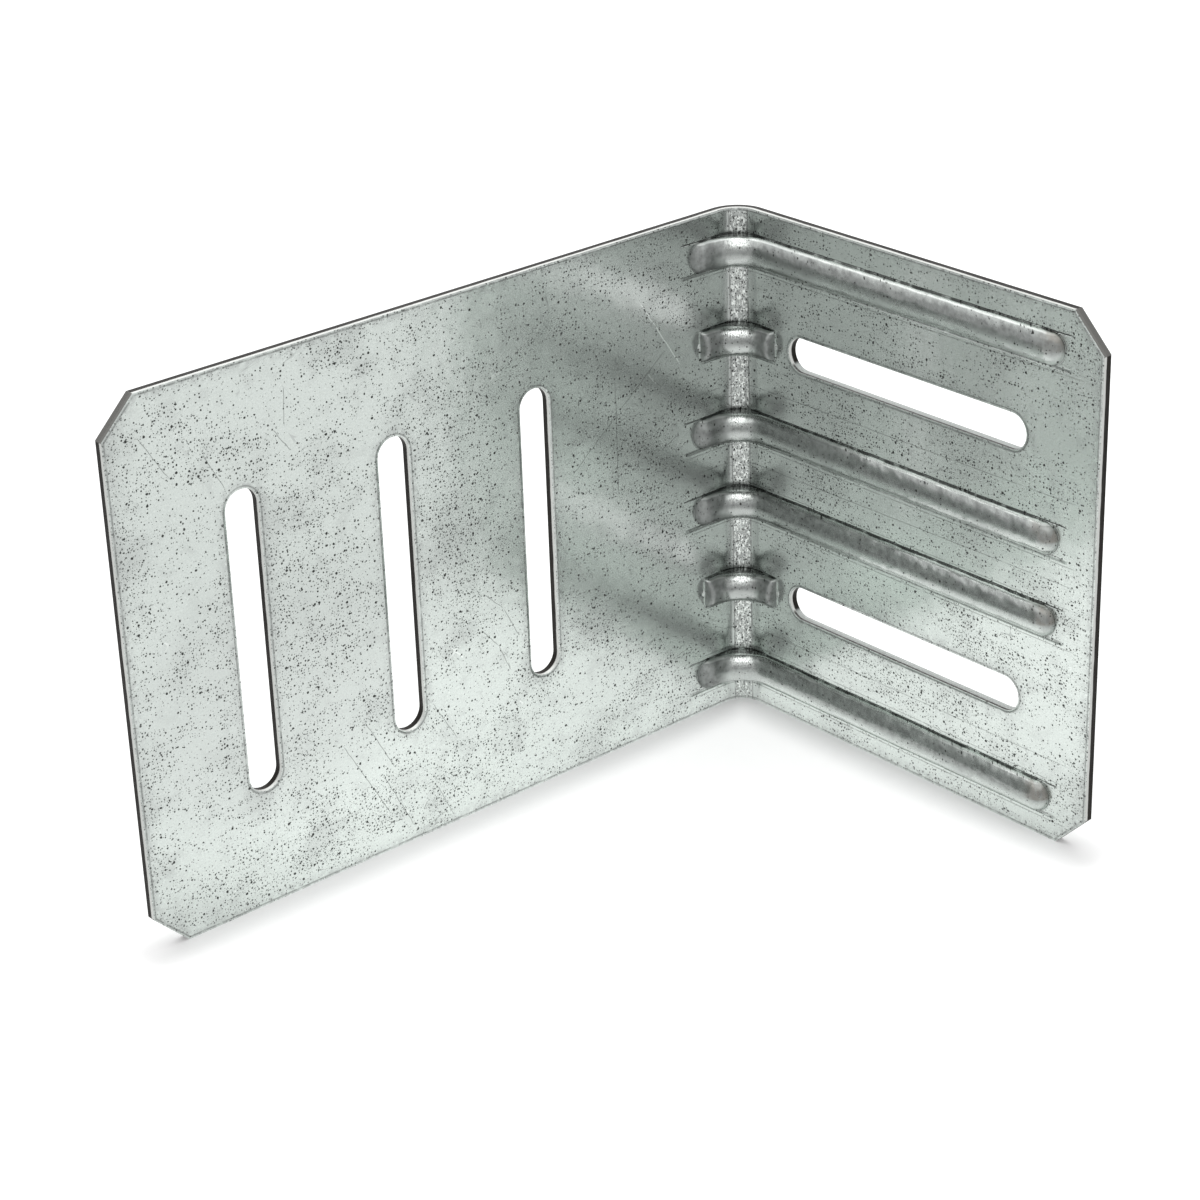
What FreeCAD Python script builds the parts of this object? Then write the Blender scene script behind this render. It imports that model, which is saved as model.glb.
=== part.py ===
# Drift clip: one folded angle of galvanised steel sheet, with stiffening ribs pressed through its fold
import FreeCAD, Part
import math
import os
import Sketcher

V = FreeCAD.Vector

# Driving dimensions, in millimetres. The legs run along -X (long) and -Y (short) from the fold,
# the fold runs along Z, and every rib, dart and slot row is set out from mid height.
SIZES = [
    ("sheet_thickness", 1.8, "14 gauge galvanised sheet"),
    ("clip_height", 101.6, "length of the fold"),
    ("long_leg", 140.8, "outer face of the short leg to the free end of the long leg"),
    ("short_leg", 90.1, "outer face of the long leg to the free end of the short leg"),
    ("fold_radius", 4.5, "inside radius of the fold"),
    ("corner_cut", 6.6, "45 degree cut on the four free corners"),
    ("slot_width", 6.8, "every slot, for a 1/4 inch screw with play"),
    ("long_slot_length", 57.0, "upright slots of the long leg, end to end"),
    ("long_slot_margin", 25.3, "free end of the long leg to the first slot's centre"),
    ("long_slot_pitch", 31.75, "between the upright slots"),
    ("long_slot_count", 3, "upright slots"),
    ("short_slot_length", 58.4, "level slots of the short leg, end to end"),
    ("short_slot_centre", 44.5, "outer face of the long leg to the middle of a level slot"),
    ("row_offset", 25.4, "mid height to a level slot and to the dart beside it"),
    ("rib_inner_offset", 7.9, "mid height to the two middle ribs"),
    ("rib_edge_margin", 7.9, "top or bottom edge to the outer ribs"),
    ("bead_radius", 3.1, "roundness of the crest of every rib and dart"),
    ("rib_rise", 2.5, "crest of a rib above the inner faces"),
    ("rib_bend_radius", 6.0, "radius of a rib's crest where it turns the fold"),
    ("rib_long_run", 0.6, "straight stretch of a rib on the long leg"),
    ("rib_short_margin", 8.3, "free end of the short leg to the tip of a rib"),
    ("dart_radius", 16.0, "radius of a dart's crest, seen from above"),
    ("dart_depth", 5.6, "sharp inner corner of the fold to the crest of a dart"),
]


def add_sizes(doc):
    sheet = doc.addObject("Spreadsheet::Sheet", "Sizes")
    for row, (alias, value, note) in enumerate(SIZES, start=1):
        sheet.set("A%d" % row, alias)
        sheet.set("B%d" % row, str(value))
        sheet.setAlias("B%d" % row, alias)
        sheet.set("C%d" % row, note)
    doc.recompute()
    return sheet


# Sketch helpers: every sketch lies on one of its own body's origin planes
def add_sketch(body, name, role):
    sketch = body.newObject("Sketcher::SketchObject", name)
    plane = [item for item in body.Origin.OriginFeatures if item.Role == role][0]
    sketch.AttachmentSupport = [(plane, "")]
    sketch.MapMode = "FlatFace"
    return sketch


def add_line(sketch, start, end):
    index = sketch.addGeometry(Part.LineSegment(V(*start, 0), V(*end, 0)), False)
    if abs(start[0] - end[0]) < abs(start[1] - end[1]):
        sketch.addConstraint(Sketcher.Constraint("Vertical", index))
    else:
        sketch.addConstraint(Sketcher.Constraint("Horizontal", index))
    return index


def add_arc(sketch, centre, radius, first_angle, last_angle):
    circle = Part.Circle(V(*centre, 0), V(0, 0, 1), radius)
    arc = Part.ArcOfCircle(circle, math.radians(first_angle), math.radians(last_angle))
    return sketch.addGeometry(arc, False)


def join(sketch, kind, first, first_end, second, second_end):
    sketch.addConstraint(Sketcher.Constraint(kind, first, first_end, second, second_end))


def keep_on(sketch, index, end, axis):
    sketch.addConstraint(Sketcher.Constraint("PointOnObject", index, end, axis))


def drive(sketch, kind, places, value, expression):
    index = sketch.addConstraint(Sketcher.Constraint(kind, *places, value))
    sketch.setExpression("Constraints[%d]" % index, expression)


# Which point of an edge, and which axis of a sketch, a constraint names
START, END, CENTRE = range(1, 4)
UPRIGHT_AXIS, LEVEL_AXIS = range(-2, 0)


# Section of the sheet: two flat legs and the fold between them, as one even thickness
def draw_section(sketch, v):
    long_end = v.sheet_thickness - v.long_leg
    short_end = v.sheet_thickness - v.short_leg
    thick = v.sheet_thickness
    r = v.fold_radius
    inner_long = add_line(sketch, (long_end, 0), (-r, 0))
    inner_fold = add_arc(sketch, (-r, -r), r, 0, 90)
    inner_short = add_line(sketch, (0, -r), (0, short_end))
    short_tip = add_line(sketch, (0, short_end), (thick, short_end))
    outer_short = add_line(sketch, (thick, short_end), (thick, -r))
    outer_fold = add_arc(sketch, (-r, -r), r + thick, 0, 90)
    outer_long = add_line(sketch, (-r, thick), (long_end, thick))
    long_tip = add_line(sketch, (long_end, thick), (long_end, 0))
    join(sketch, "Tangent", inner_long, END, inner_fold, END)
    join(sketch, "Tangent", inner_fold, START, inner_short, START)
    join(sketch, "Coincident", inner_short, END, short_tip, START)
    join(sketch, "Coincident", short_tip, END, outer_short, START)
    join(sketch, "Tangent", outer_short, END, outer_fold, START)
    join(sketch, "Tangent", outer_fold, END, outer_long, START)
    join(sketch, "Coincident", outer_long, END, long_tip, START)
    join(sketch, "Coincident", long_tip, END, inner_long, START)
    join(sketch, "Coincident", inner_fold, CENTRE, outer_fold, CENTRE)
    drive(sketch, "Radius", (inner_fold,), r, "Sizes.fold_radius")
    drive(sketch, "DistanceX", (-1, 1, short_tip, END), thick, "Sizes.sheet_thickness")
    drive(sketch, "DistanceX", (inner_long, START, -1, 1), -long_end,
          "Sizes.long_leg - Sizes.sheet_thickness")
    drive(sketch, "DistanceY", (short_tip, START, -1, 1), -short_end,
          "Sizes.short_leg - Sizes.sheet_thickness")
    keep_on(sketch, inner_short, START, UPRIGHT_AXIS)
    keep_on(sketch, inner_long, END, LEVEL_AXIS)


# Everything behind the middle of the sheet, which trims the ribs so that none comes out at the back
def draw_backing(sketch, v):
    middle = v.sheet_thickness / 2
    r = v.fold_radius
    reach = v.long_leg
    behind = v.long_leg
    middle_long = add_line(sketch, (-reach, middle), (-r, middle))
    middle_fold = add_arc(sketch, (-r, -r), r + middle, 0, 90)
    middle_short = add_line(sketch, (middle, -r), (middle, -reach))
    foot = add_line(sketch, (middle, -reach), (behind, -reach))
    side = add_line(sketch, (behind, -reach), (behind, behind))
    top = add_line(sketch, (behind, behind), (-reach, behind))
    left = add_line(sketch, (-reach, behind), (-reach, middle))
    join(sketch, "Tangent", middle_long, END, middle_fold, END)
    join(sketch, "Tangent", middle_fold, START, middle_short, START)
    join(sketch, "Coincident", middle_short, END, foot, START)
    join(sketch, "Coincident", foot, END, side, START)
    join(sketch, "Coincident", side, END, top, START)
    join(sketch, "Coincident", top, END, left, START)
    join(sketch, "Coincident", left, END, middle_long, START)
    half = "Sizes.sheet_thickness / 2"
    drive(sketch, "Radius", (middle_fold,), r + middle, "Sizes.fold_radius + " + half)
    drive(sketch, "DistanceX", (-1, 1, middle_short, START), middle, half)
    drive(sketch, "DistanceY", (-1, 1, middle_long, END), middle, half)
    drive(sketch, "DistanceX", (middle_long, START, -1, 1), reach, "Sizes.long_leg")
    drive(sketch, "DistanceY", (foot, START, -1, 1), reach, "Sizes.long_leg")
    drive(sketch, "DistanceX", (-1, 1, side, END), behind, "Sizes.long_leg")
    drive(sketch, "DistanceY", (-1, 1, side, END), behind, "Sizes.long_leg")


# A rib or dart is a round nose on two straight walls, and the walls lead back through the sheet.
# A skin of nought gives the bead that stands out inside the angle, and a skin of one sheet
# thickness gives the hollow that the die leaves behind it, so that the wall keeps its thickness.
def draw_bead(sketch, v, skin, crest, crest_text, root, root_text):
    r = v.bead_radius - (v.sheet_thickness if skin else 0)
    r_text = "Sizes.bead_radius" + (" - Sizes.sheet_thickness" if skin else "")
    centre = crest + v.bead_radius
    nose = add_arc(sketch, (centre, 0), r, 90, 270)
    upper = add_line(sketch, (centre, r), (root, r))
    back = add_line(sketch, (root, r), (root, -r))
    lower = add_line(sketch, (root, -r), (centre, -r))
    join(sketch, "Tangent", nose, START, upper, START)
    join(sketch, "Coincident", upper, END, back, START)
    join(sketch, "Coincident", back, END, lower, START)
    join(sketch, "Tangent", lower, END, nose, END)
    drive(sketch, "Radius", (nose,), r, r_text)
    drive(sketch, "DistanceX", (-1, 1, nose, CENTRE), centre, crest_text + " + Sizes.bead_radius")
    drive(sketch, "DistanceX", (-1, 1, back, START), root, root_text)
    keep_on(sketch, nose, CENTRE, LEVEL_AXIS)


# Half of a rib's own section, which is turned about its middle to round off each end of the rib
def draw_half_bead(sketch, v, skin):
    r = v.bead_radius - (v.sheet_thickness if skin else 0)
    r_text = "Sizes.bead_radius" + (" - Sizes.sheet_thickness" if skin else "")
    centre = v.bead_radius - v.rib_rise
    root = v.sheet_thickness + v.bead_radius
    nose = add_arc(sketch, (centre, 0), r, 90, 180)
    upper = add_line(sketch, (centre, r), (root, r))
    back = add_line(sketch, (root, r), (root, 0))
    axis = add_line(sketch, (root, 0), (centre - r, 0))
    join(sketch, "Tangent", nose, START, upper, START)
    join(sketch, "Coincident", upper, END, back, START)
    join(sketch, "Coincident", back, END, axis, START)
    join(sketch, "Coincident", axis, END, nose, END)
    drive(sketch, "Radius", (nose,), r, r_text)
    drive(sketch, "DistanceX", (-1, 1, nose, CENTRE), centre, "Sizes.bead_radius - Sizes.rib_rise")
    drive(sketch, "DistanceX", (-1, 1, back, START), root, "Sizes.sheet_thickness + Sizes.bead_radius")
    keep_on(sketch, nose, CENTRE, LEVEL_AXIS)
    keep_on(sketch, axis, END, LEVEL_AXIS)


# The line that a rib's section follows: along the short leg, round the fold and onto the long leg
TURN = "(Sizes.rib_rise + Sizes.rib_bend_radius)"
TIP = "(Sizes.short_leg - Sizes.sheet_thickness - Sizes.rib_short_margin - Sizes.bead_radius)"
SUNK = "(Sizes.bead_radius - Sizes.rib_rise)"


def draw_rib_path(sketch, v):
    turn = v.rib_rise + v.rib_bend_radius
    tip = v.short_leg - v.sheet_thickness - v.rib_short_margin - v.bead_radius
    sunk = v.bead_radius - v.rib_rise
    short_run = add_line(sketch, (sunk, -tip), (sunk, -turn))
    bend = add_arc(sketch, (-turn, -turn), turn + sunk, 0, 90)
    long_run = add_line(sketch, (-turn, sunk), (-turn - v.rib_long_run, sunk))
    join(sketch, "Tangent", short_run, END, bend, START)
    join(sketch, "Tangent", bend, END, long_run, START)
    drive(sketch, "Radius", (bend,), turn + sunk, "Sizes.rib_bend_radius + Sizes.bead_radius")
    drive(sketch, "DistanceX", (bend, CENTRE, -1, 1), turn, TURN)
    drive(sketch, "DistanceY", (bend, CENTRE, -1, 1), turn, TURN)
    drive(sketch, "DistanceY", (short_run, START, -1, 1), tip, TIP)
    drive(sketch, "DistanceX", (long_run, END, long_run, START), v.rib_long_run, "Sizes.rib_long_run")


def turn_profile(body, name, sketch, axis, angle, backwards):
    turned = body.newObject("PartDesign::Revolution", name)
    turned.Profile = sketch
    turned.ReferenceAxis = (sketch, [axis])
    turned.Angle = angle
    turned.Reversed = backwards
    return turned


def add_rib(doc, body, v, name, height, skin):
    sunk = v.bead_radius - v.rib_rise
    root = v.sheet_thickness + v.bead_radius
    path = add_sketch(body, name + "_path", "XY_Plane")
    path.setExpression("AttachmentOffset.Base.z", height)
    draw_rib_path(path, v)
    profile = add_sketch(body, name + "_section", "XZ_Plane")
    profile.setExpression("AttachmentOffset.Base.y", height)
    profile.setExpression("AttachmentOffset.Base.z", TIP)
    draw_bead(profile, v, skin, sunk - v.bead_radius, "-Sizes.rib_rise", root,
              "Sizes.sheet_thickness + Sizes.bead_radius")
    doc.recompute()
    run = body.newObject("PartDesign::AdditivePipe", name + "_run")
    run.Profile = profile
    run.Spine = path
    doc.recompute()
    features = [run]
    long_tip = "-%s - Sizes.rib_long_run" % TURN
    for end, plane, offset, backwards in (("short_tip", "XZ_Plane", TIP, False),
                                          ("long_tip", "YZ_Plane", long_tip, True)):
        half = add_sketch(body, "%s_%s_section" % (name, end), plane)
        half.setExpression("AttachmentOffset.Base.y", height)
        half.setExpression("AttachmentOffset.Base.z", offset)
        draw_half_bead(half, v, skin)
        features.append(turn_profile(body, "%s_%s" % (name, end), half, "H_Axis", 180, backwards))
        doc.recompute()
    return features


# A dart is a short bead bridging the fold: its section turned about an upright axis inside the angle
def add_dart(doc, body, v, name, height, skin):
    centre_text = "(Sizes.dart_radius + Sizes.dart_depth) / sqrt(2)"
    root = v.dart_radius + v.dart_depth + 2 * v.sheet_thickness
    profile = add_sketch(body, name + "_section", "XZ_Plane")
    profile.setExpression("AttachmentOffset.Base.x", "-" + centre_text)
    profile.setExpression("AttachmentOffset.Base.y", height)
    profile.setExpression("AttachmentOffset.Base.z", centre_text)
    draw_bead(profile, v, skin, v.dart_radius, "Sizes.dart_radius", root,
              "Sizes.dart_radius + Sizes.dart_depth + 2 * Sizes.sheet_thickness")
    turned = turn_profile(body, name, profile, "V_Axis", 90, False)
    doc.recompute()
    return [turned]


# The beads above mid height, each with its height, and their mirror images below
BEADS = [
    ("middle_rib", add_rib, "Sizes.rib_inner_offset"),
    ("dart", add_dart, "Sizes.row_offset"),
    ("outer_rib", add_rib, "Sizes.clip_height / 2 - Sizes.rib_edge_margin"),
]


def add_beads(doc, body, v, skin):
    ending = "_hollow" if skin else ""
    features = []
    for name, add, height in BEADS:
        features += add(doc, body, v, name + ending, height, skin)
    return mirror(doc, body, "lower_beads" + ending, features)


def mirror(doc, body, name, features):
    pair = body.newObject("PartDesign::Mirrored", name)
    pair.Originals = features
    pair.MirrorPlane = ([item for item in body.Origin.OriginFeatures if item.Role == "XY_Plane"][0], [""])
    body.Tip = pair
    doc.recompute()
    return pair


# Slots: an obround with its two round ends tangent to its straight sides
def draw_slot(sketch, centre, length, width, upright, run_text):
    half = (length - width) / 2
    r = width / 2
    x, y = centre
    if upright:
        first = add_line(sketch, (x - r, y + half), (x - r, y - half))
        near = add_arc(sketch, (x, y - half), r, 180, 360)
        second = add_line(sketch, (x + r, y - half), (x + r, y + half))
        far = add_arc(sketch, (x, y + half), r, 0, 180)
    else:
        first = add_line(sketch, (x - half, y - r), (x + half, y - r))
        near = add_arc(sketch, (x + half, y), r, -90, 90)
        second = add_line(sketch, (x + half, y + r), (x - half, y + r))
        far = add_arc(sketch, (x - half, y), r, 90, 270)
    join(sketch, "Tangent", first, END, near, START)
    join(sketch, "Tangent", near, END, second, START)
    join(sketch, "Tangent", second, END, far, START)
    join(sketch, "Tangent", far, END, first, START)
    drive(sketch, "Radius", (near,), r, "Sizes.slot_width / 2")
    if upright:
        drive(sketch, "DistanceY", (near, CENTRE, far, CENTRE), 2 * half, run_text)
    else:
        drive(sketch, "DistanceX", (far, CENTRE, near, CENTRE), 2 * half, run_text)
    return near


def add_slots(doc, body, v):
    upright = add_sketch(body, "upright_slot", "XZ_Plane")
    first_x = v.sheet_thickness - v.long_leg + v.long_slot_margin
    near = draw_slot(upright, (first_x, 0), v.long_slot_length, v.slot_width, True,
                     "Sizes.long_slot_length - Sizes.slot_width")
    drive(upright, "DistanceX", (near, CENTRE, -1, 1), -first_x,
          "Sizes.long_leg - Sizes.sheet_thickness - Sizes.long_slot_margin")
    drive(upright, "DistanceY", (near, CENTRE, -1, 1), (v.long_slot_length - v.slot_width) / 2,
          "(Sizes.long_slot_length - Sizes.slot_width) / 2")
    cut = body.newObject("PartDesign::Pocket", "upright_slot_cut")
    cut.Profile = upright
    cut.Type = "ThroughAll"
    cut.SideType = "Symmetric"
    doc.recompute()
    row = body.newObject("PartDesign::LinearPattern", "upright_slots")
    row.Originals = [cut]
    row.Direction = (upright, ["H_Axis"])
    row.setExpression("Length", "Sizes.long_slot_pitch * (Sizes.long_slot_count - 1)")
    row.setExpression("Occurrences", "Sizes.long_slot_count")
    body.Tip = row
    doc.recompute()

    level = add_sketch(body, "level_slot", "YZ_Plane")
    middle_y = v.sheet_thickness - v.short_slot_centre
    near = draw_slot(level, (middle_y, v.row_offset), v.short_slot_length, v.slot_width, False,
                     "Sizes.short_slot_length - Sizes.slot_width")
    near_y = middle_y + (v.short_slot_length - v.slot_width) / 2
    drive(level, "DistanceY", (-1, 1, near, CENTRE), v.row_offset, "Sizes.row_offset")
    half = "(Sizes.short_slot_length - Sizes.slot_width) / 2"
    drive(level, "DistanceX", (near, CENTRE, -1, 1), -near_y,
          "Sizes.short_slot_centre - Sizes.sheet_thickness - " + half)
    cut = body.newObject("PartDesign::Pocket", "level_slot_cut")
    cut.Profile = level
    cut.Type = "ThroughAll"
    cut.SideType = "Symmetric"
    doc.recompute()
    mirror(doc, body, "level_slots", [cut])


def add_corner_cuts(doc, body, blank, v):
    long_end = v.sheet_thickness - v.long_leg
    short_end = v.sheet_thickness - v.short_leg
    corners = []
    for number, edge in enumerate(blank.Shape.Edges, start=1):
        box = edge.BoundBox
        at_end = abs(abs(box.ZMin) - v.clip_height / 2) < 1e-6 and box.ZLength < 1e-6
        long_corner = abs(box.XMax - long_end) < 1e-6
        short_corner = abs(box.YMax - short_end) < 1e-6
        if at_end and (long_corner or short_corner):
            corners.append("Edge%d" % number)
    cuts = body.newObject("PartDesign::Chamfer", "corner_cuts")
    cuts.Base = (blank, corners)
    cuts.setExpression("Size", "Sizes.corner_cut")
    doc.recompute()


# The die's hollows, one sheet thickness inside the beads
def make_hollows(doc, v):
    body = doc.addObject("PartDesign::Body", "die_hollows")
    body.AllowCompound = True
    add_beads(doc, body, v, True)
    return body


# The clip: rounded beads trimmed at mid sheet, the folded sheet over them, then the hollows behind
def make_clip(doc, v, hollows):
    body = doc.addObject("PartDesign::Body", "drift_clip")
    body.AllowCompound = True
    add_beads(doc, body, v, False)
    backing = add_sketch(body, "backing", "XY_Plane")
    draw_backing(backing, v)
    trim = body.newObject("PartDesign::Pocket", "trim_at_mid_sheet")
    trim.Profile = backing
    trim.Type = "ThroughAll"
    trim.SideType = "Symmetric"
    doc.recompute()
    section = add_sketch(body, "section", "XY_Plane")
    draw_section(section, v)
    sheet = body.newObject("PartDesign::Pad", "folded_sheet")
    sheet.Profile = section
    sheet.SideType = "Symmetric"
    sheet.setExpression("Length", "Sizes.clip_height")
    doc.recompute()
    pressed = body.newObject("PartDesign::Boolean", "pressed_hollows")
    pressed.Type = "Cut"
    pressed.addObject(hollows)
    doc.recompute()
    add_corner_cuts(doc, body, pressed, v)
    add_slots(doc, body, v)
    body.setExpression("Placement.Base.x", "Sizes.long_leg / 2 - Sizes.sheet_thickness")
    body.setExpression("Placement.Base.y", "Sizes.short_leg / 2 - Sizes.sheet_thickness")
    body.setExpression("Placement.Base.z", "Sizes.clip_height / 2")
    doc.recompute()
    return body


def check(doc, part):
    for item in doc.Objects:
        if "Invalid" in item.State or "Error" in item.State:
            raise RuntimeError("%s is %s" % (item.Name, item.State))
    if part.Shape.isNull() or not part.Shape.isValid():
        raise RuntimeError("the shape of %s is not valid" % part.Label)
    if len(part.Shape.Solids) != 1:
        raise RuntimeError("%s has %d solids" % (part.Label, len(part.Shape.Solids)))


def main():
    doc = FreeCAD.newDocument("DriftClip")
    sheet = add_sizes(doc)
    clip = make_clip(doc, sheet, make_hollows(doc, sheet))
    check(doc, clip)
    os.makedirs("parts", exist_ok=True)
    clip.Shape.exportStep("parts/%s.step" % clip.Label)
    print("%s %.1f cm3" % (clip.Label, clip.Shape.Volume / 1000))


main()
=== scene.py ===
import bmesh
import bpy
import math
from mathutils import Matrix, Vector


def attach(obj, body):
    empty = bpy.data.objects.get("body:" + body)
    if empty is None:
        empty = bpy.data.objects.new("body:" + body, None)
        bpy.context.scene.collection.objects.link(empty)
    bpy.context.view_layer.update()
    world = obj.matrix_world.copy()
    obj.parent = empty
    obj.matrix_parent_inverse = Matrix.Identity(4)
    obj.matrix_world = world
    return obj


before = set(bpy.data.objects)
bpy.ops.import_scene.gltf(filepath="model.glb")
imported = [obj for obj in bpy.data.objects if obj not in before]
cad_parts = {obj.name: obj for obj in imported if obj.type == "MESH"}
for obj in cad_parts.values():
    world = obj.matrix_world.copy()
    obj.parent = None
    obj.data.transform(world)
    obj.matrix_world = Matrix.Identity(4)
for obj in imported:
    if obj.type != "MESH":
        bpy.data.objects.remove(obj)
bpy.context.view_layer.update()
scene = bpy.context.scene
bpy.ops.object.select_all(action="DESELECT")

# the sharp inner corner of the fold, at the floor: patterns are set out from it in millimetres, along the
# flat sheet (the long leg before 0, the short leg after it) and up or down from the middle of its height
clip = {"corner": (0.0686, 0.04325, 0.0), "height": 101.6, "sheet": 1.8, "foldRadius": 4.5,
        "longEnd": -139.0, "shortEnd": -88.3, "cut": 6.6, "slotRadius": 3.4,
        "uprightSlots": (-113.7, -81.95, -50.2), "uprightSlotHalf": 25.1,
        "levelSlotMiddle": 42.7, "levelSlotHalf": 25.8, "rowOff": 25.4,
        "ribMiddle": 33.9, "ribHalf": 43.0, "innerRibOff": 7.9, "outerRibOff": 42.9,
        "dartHalf": 9.9, "dartHalfHeight": 3.1}


def linkSockets(tree, node, values):
    for name, value in values.items():
        socket = node.inputs[name]
        if isinstance(value, bpy.types.NodeSocket):
            tree.links.new(value, socket)
        else:
            socket.default_value = value


def addNode(tree, kind, settings=None, **values):
    node = tree.nodes.new(kind)
    for name, value in (settings or {}).items():
        setattr(node, name, value)
    linkSockets(tree, node, {key.replace("_", " "): value for key, value in values.items()})
    return node


def calc(tree, operation, *values):
    node = tree.nodes.new("ShaderNodeMath")
    node.operation = operation
    linkSockets(tree, node, dict(enumerate(values)))
    return node.outputs[0]


def ramp(tree, value, low, high, lowTo=0.0, highTo=1.0):
    node = addNode(tree, "ShaderNodeMapRange", {"interpolation_type": "SMOOTHSTEP"}, Value=value,
                   From_Min=low, From_Max=high, To_Min=lowTo, To_Max=highTo)
    return node.outputs["Result"]


# 1 on a band round centre, fading to 0 over soft
def band(tree, value, centre, half, soft):
    away = calc(tree, "ABSOLUTE", calc(tree, "SUBTRACT", value, centre))
    return ramp(tree, away, half, half + soft, 1.0, 0.0)


# 1 from low to high, fading to 0 over soft outside them
def between(tree, value, low, high, soft):
    risen = ramp(tree, value, low - soft, low)
    return calc(tree, "MULTIPLY", risen, ramp(tree, value, high, high + soft, 1.0, 0.0))


def times(tree, *values):
    total = values[0]
    for value in values[1:]:
        total = calc(tree, "MULTIPLY", total, value)
    return total


def tint(tree, base, colour, amount):
    node = addNode(tree, "ShaderNodeMix", {"data_type": "RGBA"})
    linkSockets(tree, node, {0: amount, 6: base, 7: colour})
    return node.outputs[2]


def newGroup(name, inputs, outputs):
    tree = bpy.data.node_groups.new(name, "ShaderNodeTree")
    for label, kind, value in inputs:
        socket = tree.interface.new_socket(name=label, in_out="INPUT", socket_type=kind)
        if value is not None:
            socket.default_value = value
    for label, kind in outputs:
        tree.interface.new_socket(name=label, in_out="OUTPUT", socket_type=kind)
    start = tree.nodes.new("NodeGroupInput")
    end = tree.nodes.new("NodeGroupOutput")
    return tree, start.outputs, end


def useGroup(tree, group, **values):
    node = tree.nodes.new("ShaderNodeGroup")
    node.node_tree = group
    linkSockets(tree, node, {key.replace("_", " "): value for key, value in values.items()})
    return node.outputs


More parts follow.
